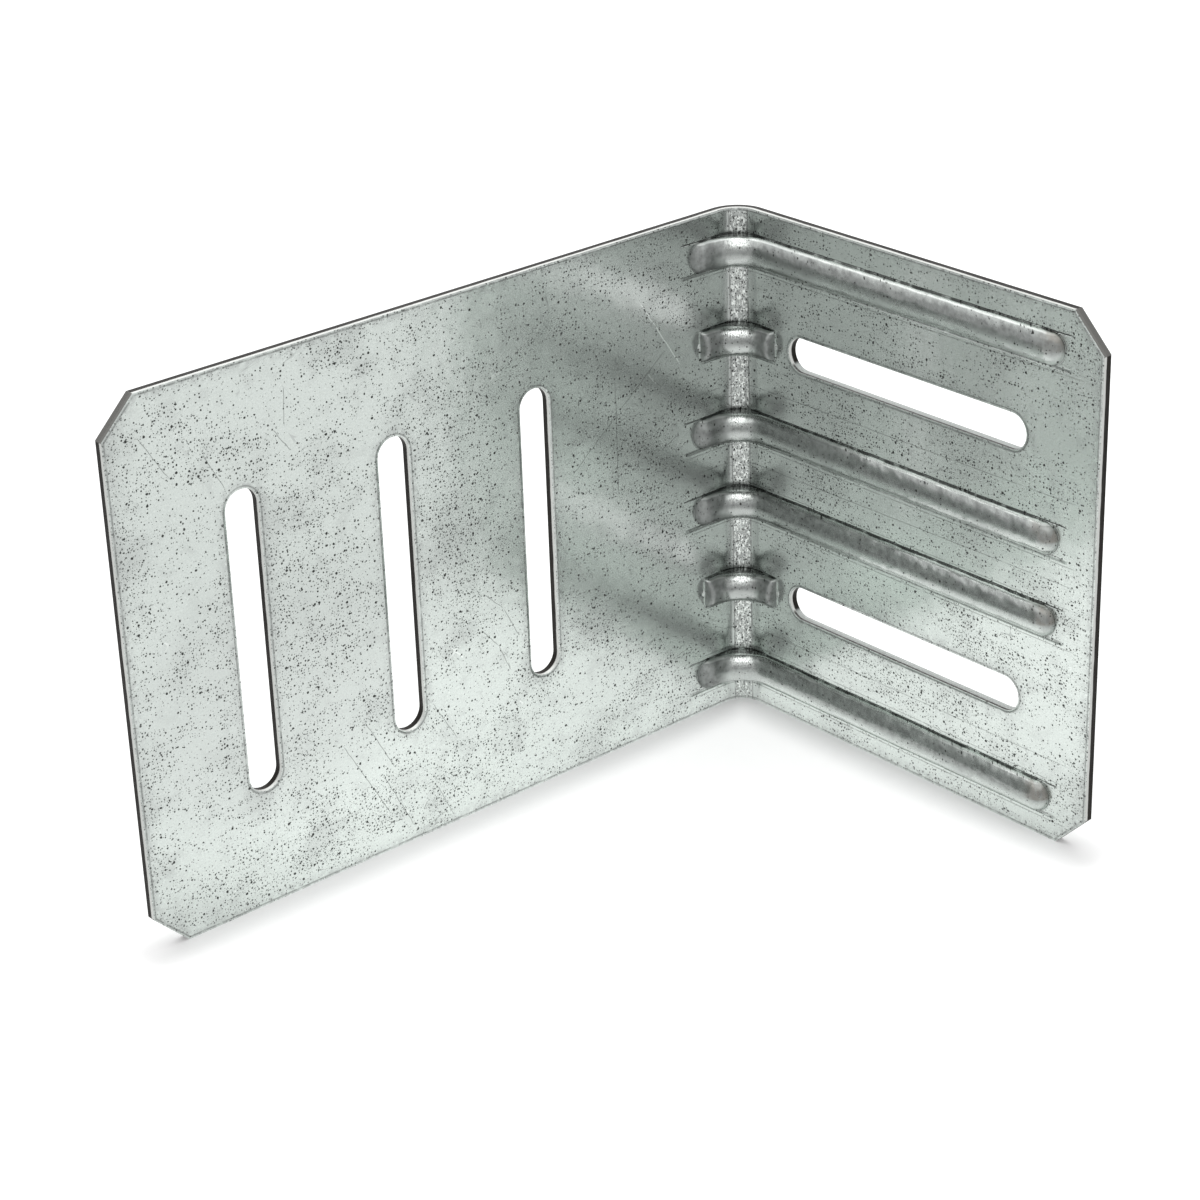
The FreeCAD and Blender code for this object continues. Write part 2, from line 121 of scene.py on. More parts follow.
# where a point is on the folded sheet, in millimetres: along it from the fold, up, deep in its wall,
# in from the nearest sheared edge, off a rib's middle line and outside a dart's outline. Flat is the place
# on the flat sheet, moved aside on the outer face, so that each face has marks of its own. Corner and
# Level slot are 1 on the walls of the cut corners and on the lower walls of the level slots
def makeSheetPlace():
    tree, given, end = newGroup(
        "sheetPlace", [("Place", "NodeSocketVector", None)],
        [("Flat", "NodeSocketVector"), ("Along", "NodeSocketFloat"), ("Up", "NodeSocketFloat"),
         ("Deep", "NodeSocketFloat"), ("Edge", "NodeSocketFloat"), ("Rib", "NodeSocketFloat"),
         ("Rib side", "NodeSocketFloat"), ("Dart", "NodeSocketFloat"), ("Dart side", "NodeSocketFloat"),
         ("Corner", "NodeSocketFloat"), ("Level slot", "NodeSocketFloat")])

    def put(name, value):
        tree.links.new(value, end.inputs[name])

    def away(value, centre, half=0.0):
        gap = calc(tree, "ABSOLUTE", calc(tree, "SUBTRACT", value, centre))
        return calc(tree, "MAXIMUM", calc(tree, "SUBTRACT", gap, half), 0.0)

    def hypotenuse(first, second):
        squares = calc(tree, "ADD", times(tree, first, first), times(tree, second, second))
        return calc(tree, "SQRT", squares)

    part = addNode(tree, "ShaderNodeSeparateXYZ", Vector=given["Place"]).outputs
    along = calc(tree, "SUBTRACT", calc(tree, "MINIMUM", part[0], 0.0),
                 calc(tree, "MINIMUM", part[1], 0.0))
    up = part[2]
    radius = clip["foldRadius"]
    bent = calc(tree, "GREATER_THAN", calc(tree, "MINIMUM", part[0], part[1]), -radius)
    fromAxis = hypotenuse(calc(tree, "ADD", part[0], radius), calc(tree, "ADD", part[1], radius))
    turned = calc(tree, "SUBTRACT", fromAxis, radius)
    flat = times(tree, calc(tree, "SUBTRACT", 1.0, bent), calc(tree, "MAXIMUM", part[0], part[1]))
    deep = calc(tree, "ADD", flat, times(tree, bent, turned))
    behind = ramp(tree, deep, 0.5, 1.3, 0.0, 40.0)
    put("Flat", addNode(tree, "ShaderNodeCombineXYZ", X=calc(tree, "ADD", along, behind), Y=up,
                        Z=behind).outputs[0])
    put("Along", along)
    put("Up", up)
    put("Deep", deep)
    middle = calc(tree, "SUBTRACT", up, clip["height"] / 2)
    side = calc(tree, "SIGN", middle)
    height = calc(tree, "ABSOLUTE", middle)
    endGap = calc(tree, "MINIMUM", calc(tree, "SUBTRACT", along, clip["longEnd"]),
                  calc(tree, "SUBTRACT", -clip["shortEnd"], along))
    topGap = calc(tree, "SUBTRACT", clip["height"] / 2, height)
    pastCut = calc(tree, "SUBTRACT", calc(tree, "ADD", endGap, topGap), clip["cut"])
    corner = calc(tree, "MULTIPLY", pastCut, math.sqrt(0.5))
    edge = calc(tree, "MINIMUM", calc(tree, "MINIMUM", endGap, topGap), corner)
    rise = away(middle, 0.0, clip["uprightSlotHalf"])
    for centre in clip["uprightSlots"]:
        upright = hypotenuse(away(along, centre), rise)
        edge = calc(tree, "MINIMUM", edge, calc(tree, "SUBTRACT", upright, clip["slotRadius"]))
    fromRow = calc(tree, "SUBTRACT", height, clip["rowOff"])
    level = hypotenuse(away(along, clip["levelSlotMiddle"], clip["levelSlotHalf"]), fromRow)
    put("Edge", calc(tree, "MINIMUM", edge, calc(tree, "SUBTRACT", level, clip["slotRadius"])))
    put("Corner", ramp(tree, calc(tree, "ABSOLUTE", corner), 0.05, 0.15, 1.0, 0.0))
    rowSide = times(tree, side, fromRow)
    put("Level slot", times(tree, ramp(tree, level, 3.6, 4.0, 1.0, 0.0),
                            ramp(tree, rowSide, -2.6, -2.0, 1.0, 0.0)))
    outer = calc(tree, "GREATER_THAN", fromRow, 0.0)
    ribPitch = clip["outerRibOff"] - clip["innerRibOff"]
    ribOff = calc(tree, "MULTIPLY_ADD", outer, ribPitch, clip["innerRibOff"])
    fromRib = calc(tree, "SUBTRACT", height, ribOff)
    put("Rib", hypotenuse(away(along, clip["ribMiddle"], clip["ribHalf"]), fromRib))
    put("Rib side", times(tree, side, fromRib))
    pastEnd = calc(tree, "SUBTRACT", calc(tree, "ABSOLUTE", along), clip["dartHalf"])
    pastFoot = calc(tree, "SUBTRACT", calc(tree, "ABSOLUTE", fromRow), clip["dartHalfHeight"])
    put("Dart", calc(tree, "MAXIMUM", pastEnd, pastFoot))
    put("Dart side", rowSide)
    return tree


# small dark pits in the zinc: random spots, where crowd says how many of the cells hold one
def makePits():
    tree, given, end = newGroup(
        "zincPits",
        [("Flat", "NodeSocketVector", None), ("Per mm", "NodeSocketFloat", 1.0),
         ("Crowd", "NodeSocketFloat", 0.3), ("Radius", "NodeSocketFloat", 0.15)],
        [("Mask", "NodeSocketFloat")])
    cells = addNode(tree, "ShaderNodeTexVoronoi", {"feature": "F1", "voronoi_dimensions": "2D"},
                    Vector=given["Flat"], Scale=given["Per mm"])
    chance = addNode(tree, "ShaderNodeSeparateColor", Color=cells.outputs["Color"]).outputs
    present = ramp(tree, calc(tree, "SUBTRACT", given["Crowd"], chance[0]), 0.0, 0.04)
    size = times(tree, given["Radius"], calc(tree, "MULTIPLY_ADD", chance[1], 1.0, 0.4))
    wobble = addNode(tree, "ShaderNodeTexNoise", Vector=given["Flat"], Scale=3.0, Detail=1.0).outputs[0]
    away = calc(tree, "DIVIDE", cells.outputs["Distance"], given["Per mm"])
    away = calc(tree, "MULTIPLY_ADD", calc(tree, "SUBTRACT", wobble, 0.5), 0.2, away)
    inside = ramp(tree, calc(tree, "SUBTRACT", size, away), -0.02, 0.05)
    tree.links.new(times(tree, present, inside), end.inputs["Mask"])
    return tree


# hair scratches: thin contours of a noise drawn out along one direction of the flat sheet
def makeHairs():
    tree, given, end = newGroup(
        "hairScratches",
        [("Flat", "NodeSocketVector", None), ("Turn", "NodeSocketFloat", 0.0),
         ("Width", "NodeSocketFloat", 0.01), ("Sparse", "NodeSocketFloat", 0.5)],
        [("Mask", "NodeSocketFloat")])
    turned = addNode(tree, "ShaderNodeVectorRotate", {"rotation_type": "Z_AXIS"}, Vector=given["Flat"],
                     Angle=given["Turn"]).outputs[0]
    drawn = addNode(tree, "ShaderNodeMapping", Vector=turned, Scale=(0.035, 0.55, 0.3)).outputs[0]
    noise = addNode(tree, "ShaderNodeTexNoise", Vector=drawn, Scale=1.0, Detail=0.0).outputs[0]
    line = calc(tree, "ABSOLUTE", calc(tree, "SUBTRACT", noise, 0.5))
    thin = ramp(tree, calc(tree, "DIVIDE", line, given["Width"]), 0.3, 1.0, 1.0, 0.0)
    patch = addNode(tree, "ShaderNodeMapping", Vector=turned, Location=(40.0, 9.0, 0.0),
                    Scale=(0.09, 0.28, 1.0)).outputs[0]
    gaps = addNode(tree, "ShaderNodeTexNoise", Vector=patch, Scale=1.0, Detail=1.0).outputs[0]
    seen = ramp(tree, calc(tree, "SUBTRACT", gaps, given["Sparse"]), 0.0, 0.06)
    tree.links.new(times(tree, thin, seen), end.inputs["Mask"])
    return tree


# one straight scratch from a start, of a length and a direction, which fades at both ends
def makeStroke():
    tree, given, end = newGroup(
        "singleScratch",
        [("Flat", "NodeSocketVector", None), ("Start", "NodeSocketVector", None),
         ("Turn", "NodeSocketFloat", 0.0), ("Length", "NodeSocketFloat", 5.0),
         ("Width", "NodeSocketFloat", 0.1), ("Wobble", "NodeSocketFloat", 0.5)],
        [("Mask", "NodeSocketFloat")])
    moved = addNode(tree, "ShaderNodeVectorMath", {"operation": "SUBTRACT"})
    tree.links.new(given["Flat"], moved.inputs[0])
    tree.links.new(given["Start"], moved.inputs[1])
    turned = addNode(tree, "ShaderNodeVectorRotate", {"rotation_type": "Z_AXIS"}, Vector=moved.outputs[0],
                     Angle=given["Turn"]).outputs[0]
    part = addNode(tree, "ShaderNodeSeparateXYZ", Vector=turned).outputs
    swerve = calc(tree, "MULTIPLY_ADD", given["Wobble"], 0.5, -0.25)
    across = calc(tree, "ABSOLUTE", calc(tree, "ADD", part[1], swerve))
    share = calc(tree, "DIVIDE", part[0], given["Length"])
    reach = times(tree, ramp(tree, share, 0.0, 0.12), ramp(tree, share, 0.88, 1.0, 1.0, 0.0))
    thin = ramp(tree, calc(tree, "DIVIDE", across, given["Width"]), 0.4, 1.0, 1.0, 0.0)
    front = ramp(tree, calc(tree, "ABSOLUTE", part[2]), 0.5, 2.0, 1.0, 0.0)
    tree.links.new(times(tree, thin, reach, front), end.inputs["Mask"])
    return tree


# the sheet's finish: its colours; hair scratches as turn, width, how sparse, shade and amount; single
# scratches between two points of the flat sheet; the dull patch and the crowds of pits as a middle and
# half sizes; the strip down the fold; how high the die's marks are
zinc = {"colour": (0.642, 0.690, 0.660, 1.0), "dull": (0.44, 0.463, 0.450, 1.0),
        "pit": (0.03, 0.031, 0.029, 1.0), "bright": (0.90, 0.94, 0.91, 1.0),
        "line": (0.05, 0.052, 0.05, 1.0), "stain": (0.21, 0.20, 0.18, 1.0),
        "pressed": (0.414, 0.430, 0.420, 1.0), "sheared": (0.15, 0.148, 0.14, 1.0),
        "shadow": (0.177, 0.184, 0.180, 1.0), "burnished": (0.60, 0.61, 0.59, 1.0),
        "fractureAndShade": (0.022, 0.02, 0.018, 1.0), "roughness": 0.2,
        "hairs": [(0.97, 0.0045, 0.56, "dull", 0.6), (-0.75, 0.004, 0.58, "bright", 0.5),
                  (-0.38, 0.005, 0.55, "line", 0.3), (1.45, 0.004, 0.6, "line", 0.3)],
        "scratches": [
            (-132.5, 94.0, -127.0, 85.0), (-120.5, 87.5, -116.5, 80.0), (-106.5, 88.0, -103.0, 83.0),
            (-103.5, 95.0, -104.0, 87.5), (-64.0, 43.5, -59.5, 39.0), (-59.5, 39.0, -56.0, 32.0),
            (-65.0, 36.5, -61.0, 32.0), (-61.0, 32.0, -58.5, 26.0), (-92.5, 28.5, -86.0, 16.0),
            (-97.5, 25.5, -87.5, 7.0), (-89.0, 16.0, -82.5, 2.5), (-77.0, 26.0, -71.5, 16.5),
            (-77.0, 9.0, -73.5, 1.5), (-100.5, 6.0, -95.5, 5.5), (-18.0, 78.5, -30.5, 69.0),
            (-30.5, 69.0, -42.5, 59.5), (-31.0, 76.5, -31.0, 51.5), (-20.0, 58.5, -15.5, 60.5)],
        "brightScratches": [(-25.0, 89.5, -14.5, 73.5), (-23.0, 74.5, -21.0, 72.0)],
        "dullPatch": (-110.0, 40.0, 34.0, 24.0),
        "crowds": [(-105.0, 52.0, 24.0, 15.0), (-124.0, 88.0, 12.0, 7.0), (-66.0, 64.0, 11.0, 28.0),
                   (36.0, 18.0, 24.0, 4.5), (34.0, 66.0, 20.0, 4.5), (68.0, 33.0, 16.0, 8.0),
                   (-95.0, 8.0, 40.0, 7.0)],
        "foldMiddle": 0.35, "foldHalf": 2.4, "dieMarks": (66.7, 50.9, 16.0, 46.6, 11.9)}


def makeZinc():
    pits, hairs, stroke, sheetPlace = makePits(), makeHairs(), makeStroke(), makeSheetPlace()
    material = bpy.data.materials.new("galvanisedSheet")
    material.use_nodes = True
    tree = material.node_tree
    shader = tree.nodes["Principled BSDF"]
    metres = tree.nodes.new("ShaderNodeTexCoord").outputs["Object"]
    place = addNode(tree, "ShaderNodeMapping", Vector=metres, Scale=(1000, 1000, 1000),
                    Location=tuple(-1000 * Vector(clip["corner"]))).outputs[0]
    at = useGroup(tree, sheetPlace, Place=place)
    flat, along, up, deep, edge = (at[name] for name in ("Flat", "Along", "Up", "Deep", "Edge"))
    rib, ribSide, dart, dartSide = (at[name] for name in ("Rib", "Rib side", "Dart", "Dart side"))

    def noise(scale, detail=2.0, roughness=0.5, turn=0.0, stretch=(1.0, 1.0, 1.0)):
        vector = flat
        if turn or stretch != (1.0, 1.0, 1.0):
            vector = addNode(tree, "ShaderNodeMapping", Vector=flat, Rotation=(0.0, 0.0, turn),
                             Scale=stretch).outputs[0]
        return addNode(tree, "ShaderNodeTexNoise", Vector=vector, Scale=scale, Detail=detail,
                       Roughness=roughness).outputs[0]

    def inverse(value):
        return calc(tree, "SUBTRACT", 1.0, value)

    # 0 in the middle of an ellipse on the flat sheet, 1 on its outline
    def outFrom(middle, height, halfLength, halfHeight):
        aside = calc(tree, "DIVIDE", calc(tree, "SUBTRACT", along, middle), halfLength)
        above = calc(tree, "DIVIDE", calc(tree, "SUBTRACT", up, height), halfHeight)
        return calc(tree, "ADD", times(tree, aside, aside), times(tree, above, above))

    # where things are on the sheet
    front = ramp(tree, deep, 0.1, 0.5, 1.0, 0.0)
    onRib = ramp(tree, rib, 2.8, 3.15, 1.0, 0.0)
    onDart = ramp(tree, dart, -0.4, 0.05, 1.0, 0.0)
    offBeads = times(tree, ramp(tree, rib, 3.0, 3.3), ramp(tree, dart, -0.1, 0.2))
    fromFold = calc(tree, "ABSOLUTE", calc(tree, "SUBTRACT", along, zinc["foldMiddle"]))
    foldHalf = zinc["foldHalf"]
    onFold = times(tree, ramp(tree, fromFold, foldHalf - 0.25, foldHalf, 1.0, 0.0), front, offBeads)
    wall = times(tree, between(tree, deep, 0.07, clip["sheet"] - 0.05, 0.04),
                 ramp(tree, edge, 0.1, 0.3, 1.0, 0.0))
    cloud = noise(0.06, 4.0, 0.6)
    drift = noise(0.22, 3.0, 0.55)
    grain = noise(2.8, 3.0, 0.75)
    streak = noise(1.0, 3.0, 0.6, -0.4, (0.10, 0.62, 1.0))

    # dull clouds, fine grain and hair scratches
    colour = tint(tree, zinc["colour"], zinc["dull"], ramp(tree, cloud, 0.48, 0.72, 0.0, 0.55))
    colour = tint(tree, colour, zinc["dull"], ramp(tree, drift, 0.5, 0.75, 0.0, 0.35))
    colour = tint(tree, colour, zinc["dull"], ramp(tree, grain, 0.5, 0.76, 0.0, 0.6))
    colour = tint(tree, colour, zinc["bright"], ramp(tree, grain, 0.47, 0.25, 0.0, 0.5))
    for turn, width, sparse, shade, amount in zinc["hairs"]:
        marks = useGroup(tree, hairs, Flat=flat, Turn=turn, Width=width, Sparse=sparse)
        colour = tint(tree, colour, zinc[shade], times(tree, marks[0], amount))

    # a wide dull patch on the long leg
    patch = times(tree, ramp(tree, outFrom(*zinc["dullPatch"]), 0.0, 1.5, 0.5, 0.0), front)
    colour = tint(tree, colour, zinc["dull"], patch)

    # painted shade round the fold and high up the short leg, where the two legs reflect each other
    foldShade = calc(tree, "MAXIMUM",
                    times(tree, between(tree, along, -16.0, 8.0, 34.0), ramp(tree, up, 4.0, 30.0)),
                    times(tree, between(tree, along, 0.0, 60.0, 18.0), ramp(tree, up, 36.0, 62.0)))
    colour = tint(tree, colour, zinc["pressed"], times(tree, foldShade, front, 0.48))

    # pits, thick in some places and along faint streaks, thin on the crests
    crowd = times(tree, ramp(tree, cloud, 0.36, 0.64, 0.3, 1.35), ramp(tree, streak, 0.38, 0.6, 0.3, 1.5))
    for middle, height, halfLength, halfHeight in zinc["crowds"]:
        reach = outFrom(middle, height, halfLength, halfHeight)
        crowd = calc(tree, "ADD", crowd, times(tree, ramp(tree, reach, 0.1, 1.3, 0.8, 0.0), front,
                                               ramp(tree, streak, 0.36, 0.6, 0.3, 1.0)))
    crowd = calc(tree, "ADD", crowd, ramp(tree, edge, 0.3, 2.5, 0.35, 0.0))
    crowd = times(tree, crowd, inverse(times(tree, onRib, 0.75)), inverse(times(tree, onDart, 0.7)))
    crowd = calc(tree, "ADD", crowd, times(tree, onFold, 1.2))
    fine = useGroup(tree, pits, Flat=flat, Per_mm=1.25, Crowd=times(tree, crowd, 0.6), Radius=0.15)[0]
    small = useGroup(tree, pits, Flat=flat, Per_mm=2.2, Crowd=times(tree, crowd, 0.4), Radius=0.1)[0]
    coarse = useGroup(tree, pits, Flat=flat, Per_mm=0.5, Crowd=times(tree, crowd, 0.6), Radius=0.2)[0]
    spots = calc(tree, "MAXIMUM", times(tree, fine, 0.95),
                 calc(tree, "MAXIMUM", times(tree, small, 0.8), coarse))

    # single scratches
    wobble = noise(0.5, 2.0)
    for key, width, shade, amount in (("scratches", 0.11, "line", 0.5),
                                      ("brightScratches", 0.14, "bright", 0.8)):
        marks = 0.0
        for startAlong, startUp, endAlong, endUp in zinc[key]:
            turn = math.atan2(endUp - startUp, endAlong - startAlong)
            length = math.hypot(endUp - startUp, endAlong - startAlong)
            mark = useGroup(tree, stroke, Flat=flat, Start=(startAlong, startUp, 0.0), Turn=-turn,
                            Length=length, Width=width, Wobble=wobble)[0]
            marks = calc(tree, "MAXIMUM", marks, mark)
        colour = tint(tree, colour, zinc[shade], times(tree, marks, amount))

    # ribs and darts: painted shade in a sharp line at the upper foot, with a painted highlight below it
    # that is widest in the fold, painted shade on the crest and the ends, lighter painted shade on the
    # lower side, and painted shade in a soft line at the lower foot
    wander = calc(tree, "MULTIPLY_ADD", noise(0.25, 2.0), 0.5, -0.25)
    broken = ramp(tree, noise(0.5, 3.0), 0.34, 0.5, 0.35, 1.0)
    speckle = ramp(tree, grain, 0.4, 0.58, 0.1, 0.95)
    uneven = ramp(tree, noise(0.8, 3.0, 0.6), 0.3, 0.62, 1.0, 0.78)
    away = calc(tree, "ABSOLUTE", along)
    lines, dulled = 0.0, 0.0
    for name, side, on, run in (("rib", ribSide, onRib, between(tree, along, -13.2, 80.5, 1.6)),
                                ("dart", dartSide, onDart, ramp(tree, away, 8.0, 11.0, 1.0, 0.0))):
        upper = ramp(tree, side, -0.3, 0.3)
        level = calc(tree, "ABSOLUTE", calc(tree, "ADD", side, times(tree, wander, 0.5)))
        # painted shade in the creases at the upper and lower feet
        upLine = times(tree, band(tree, level, 3.12, 0.04, 0.16), upper, run)
        lowLine = times(tree, band(tree, level, 3.2, 0.1, 0.4), inverse(upper), run)
        lines = calc(tree, "MAXIMUM", lines, calc(tree, "MAXIMUM", upLine, lowLine))
        colour = tint(tree, colour, zinc["line"], times(tree, upLine, front, broken, 0.85))
        colour = tint(tree, colour, zinc["line"], times(tree, lowLine, front, broken, 0.55))
        # painted shade on the crest and on the ends
        crest = times(tree, ramp(tree, calc(tree, "ADD", side, wander), -1.6, 0.9),
                      ramp(tree, side, 2.7, 2.95, 1.0, 0.0))
        ends = ramp(tree, along, -7.0, -1.5, 1.0, 0.0)
        if name == "dart":
            ends = times(tree, ramp(tree, away, 3.6, 5.2), ramp(tree, side, -1.8, -0.8, 0.75, 1.0))
        dark = times(tree, calc(tree, "MAXIMUM", crest, ends), on, front)
        dulled = calc(tree, "MAXIMUM", dulled, times(tree, ends, on, front))
        colour = tint(tree, colour, zinc["shadow"], times(tree, dark, uneven))
        # a lighter painted shade on the lower side
        underside = times(tree, inverse(upper), ramp(tree, away, 4.0, 9.0, 1.0, 0.0), on, front,
                          inverse(ends))
        colour = tint(tree, colour, zinc["pressed"], times(tree, underside, 0.55))
        # painted highlights: a glint high on the bead in the fold, and a thin line under the upper foot
        spread = calc(tree, "MULTIPLY_ADD", drift, 5.0, away)
        glint = times(tree, ramp(tree, spread, 3.2, 7.2, 1.0, 0.0), ramp(tree, side, 0.6, 2.2), on, front,
                      speckle)
        shine = times(tree, band(tree, level, 2.78, 0.08, 0.18), upper, on, front, 0.4)
        colour = tint(tree, colour, zinc["bright"], calc(tree, "MAXIMUM", glint, shine))
    dieLine = times(tree, band(tree, calc(tree, "ABSOLUTE", ribSide), 4.15, 0.02, 0.16),
                    ramp(tree, ribSide, -0.3, 0.3, 1.0, 0.0), between(tree, along, -11.0, 82.0, 3.0))
    colour = tint(tree, colour, zinc["line"], times(tree, dieLine, front, broken, 0.45))
    fromMiddle = calc(tree, "ABSOLUTE", calc(tree, "SUBTRACT", along, clip["ribMiddle"]))
    atTips = ramp(tree, fromMiddle, clip["ribHalf"] - 1.0, clip["ribHalf"] + 0.5)
    tipLine = times(tree, band(tree, calc(tree, "ADD", rib, wander), 3.1, 0.05, 0.25), atTips)
    colour = tint(tree, colour, zinc["line"], times(tree, tipLine, front, 0.35))
    streaked = ramp(tree, noise(0.7, 3.0, 0.6, 0.0, (0.35, 1.0, 1.0)), 0.42, 0.7, 0.0, 0.2)
    colour = tint(tree, colour, zinc["dull"], times(tree, onRib, front, streaked))
    stain = times(tree, onRib, front, ramp(tree, along, 72.0, 76.5),
                  ramp(tree, drift, 0.42, 0.55, 0.2, 0.75), ramp(tree, ribSide, -0.3, 0.3))
    colour = tint(tree, colour, zinc["stain"], stain)

    # the tight strip down the fold between the beads: painted shade on it and in soft bands beside it,
    # with bright speckles
    foldDark = ramp(tree, drift, 0.4, 0.6, 0.4, 0.7)
    colour = tint(tree, colour, zinc["shadow"], times(tree, onFold, foldDark))
    flecks = ramp(tree, noise(1.4, 3.0, 0.65, 0.0, (1.0, 0.7, 1.0)), 0.46, 0.62, 0.0, 0.7)
    colour = tint(tree, colour, zinc["bright"], times(tree, onFold, flecks))
    beside = times(tree, band(tree, fromFold, foldHalf + 1.0, 0.8, 0.8), front, offBeads)
    colour = tint(tree, colour, zinc["shadow"], times(tree, beside, 0.25))
    foldLine = times(tree, band(tree, fromFold, foldHalf, 0.05, 0.25), front, offBeads)
    colour = tint(tree, colour, zinc["line"], times(tree, foldLine, broken, 0.6))

    # the pits lie over all of these
    colour = tint(tree, colour, zinc["pit"], times(tree, spots, 0.95))

    # faint marks of the die's edge that run across the fold
    for height in zinc["dieMarks"]:
        level = calc(tree, "ADD", up, times(tree, wander, 0.4))
        mark = times(tree, band(tree, level, height, 0.02, 0.15), between(tree, along, -9.0, 81.0, 4.0),
                     front, ramp(tree, edge, 0.1, 0.5))
        colour = tint(tree, colour, zinc["line"], times(tree, mark, broken, 0.4))

    # sheared edges: grey where the blank was pressed down, burnished for half of the wall, then torn
    pressed = times(tree, ramp(tree, edge, 0.3, 2.6, 1.0, 0.0),
                    ramp(tree, noise(0.9, 3.0, 0.6), 0.36, 0.62), inverse(onRib))
    colour = tint(tree, colour, zinc["dull"], times(tree, pressed, 0.75))
    rim = times(tree, band(tree, edge, 0.42, 0.05, 0.22), front)
    colour = tint(tree, colour, zinc["line"], times(tree, rim, broken, 0.5))
    torn = ramp(tree, calc(tree, "MULTIPLY_ADD", drift, 0.5, deep), 0.86, 0.96)
    wallColour = tint(tree, zinc["burnished"], zinc["fractureAndShade"], torn)
    wallColour = tint(tree, wallColour, zinc["sheared"], times(tree, at["Corner"], 0.95))
    # a painted dark reflection in a band along the front of the level slots' lower walls
    levelWall = tint(tree, zinc["dull"], zinc["fractureAndShade"], ramp(tree, deep, 0.5, 0.65, 1.0, 0.0))
    wallColour = tint(tree, wallColour, levelWall,
                      times(tree, at["Level slot"], ramp(tree, grain, 0.4, 0.6, 0.95, 0.8)))
    colour = tint(tree, colour, wallColour, wall)
    tree.links.new(colour, shader.inputs["Base Color"])
    shader.inputs["Metallic"].default_value = 1.0

    # rougher in the pits, in the torn walls, on the ribs and where the beads are dull
    rough = calc(tree, "MULTIPLY_ADD", grain, 0.16, zinc["roughness"] - 0.08)
    rough = calc(tree, "ADD", rough, ramp(tree, cloud, 0.45, 0.7, 0.0, 0.08))
    rough = calc(tree, "ADD", rough, times(tree, calc(tree, "MAXIMUM", spots, wall), 0.3))
    rough = calc(tree, "ADD", rough, times(tree, calc(tree, "MAXIMUM", onRib, onFold), 0.06))
    rough = calc(tree, "ADD", rough, times(tree, dulled, 0.25))
    tree.links.new(rough, shader.inputs["Roughness"])

    # relief: broad waves, dents on the beads, and the feet and edges drawn in
    dents = noise(0.3, 1.0, 0.5, 0.0, (1.0, 1.6, 1.0))
    height = times(tree, noise(0.12, 2.0), 0.12)
    height = calc(tree, "ADD", height, times(tree, dents, calc(tree, "MAXIMUM", onRib, onDart), 0.22))
    height = calc(tree, "SUBTRACT", height, times(tree, lines, 0.12))
    height = calc(tree, "ADD", height, ramp(tree, edge, 0.0, 0.5, -0.12, 0.0))
    bump = addNode(tree, "ShaderNodeBump", Strength=1.0, Distance=0.001, Height=height)
    tree.links.new(bump.outputs[0], shader.inputs["Normal"])
    return material


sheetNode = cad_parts["drift_clip"]
finish = makeZinc()
for slot in sheetNode.material_slots:
    slot.material = finish
print("zinc on the sheet")

# darts: over each lies a short bead with a rib's section and steep ends, a thin shell let into the sheet.
# In millimetres, rows are the heights, turn is the radius round the fold, back is how far up from its
# deepest level the bead is opened, and near is what counts as touching
shortBead = {"rows": {"upper_dart_bead": 76.2, "lower_dart_bead": 25.4}, "halfHeight": 3.15, "rise": 2.55,
             "turn": 8.5, "into": 1.7, "reach": 10.0, "endRound": 0.9, "wall": 0.35, "back": 0.6,
             "near": 0.01, "steps": 24, "roundSteps": 4, "circlePoints": 32, "smoothBelow": 40.0}


def selectInEdit(piece, kind, isChosen):
    bpy.ops.mesh.select_mode(type=kind)
    bpy.ops.mesh.select_all(action="DESELECT")
    mesh = bmesh.from_edit_mesh(piece.data)
    for item in (mesh.verts if kind == "VERT" else mesh.faces):
        item.select = isChosen(item)
    mesh.select_flush_mode()
    bmesh.update_edit_mesh(piece.data)


def isAtBack(face, axis, radius):
    outward = face.calc_center_median() - axis
    outward.z = 0.0
    deepest = outward.length > radius - shortBead["back"] / 1000
    return face.normal.dot(outward.normalized()) > 0.6 and deepest


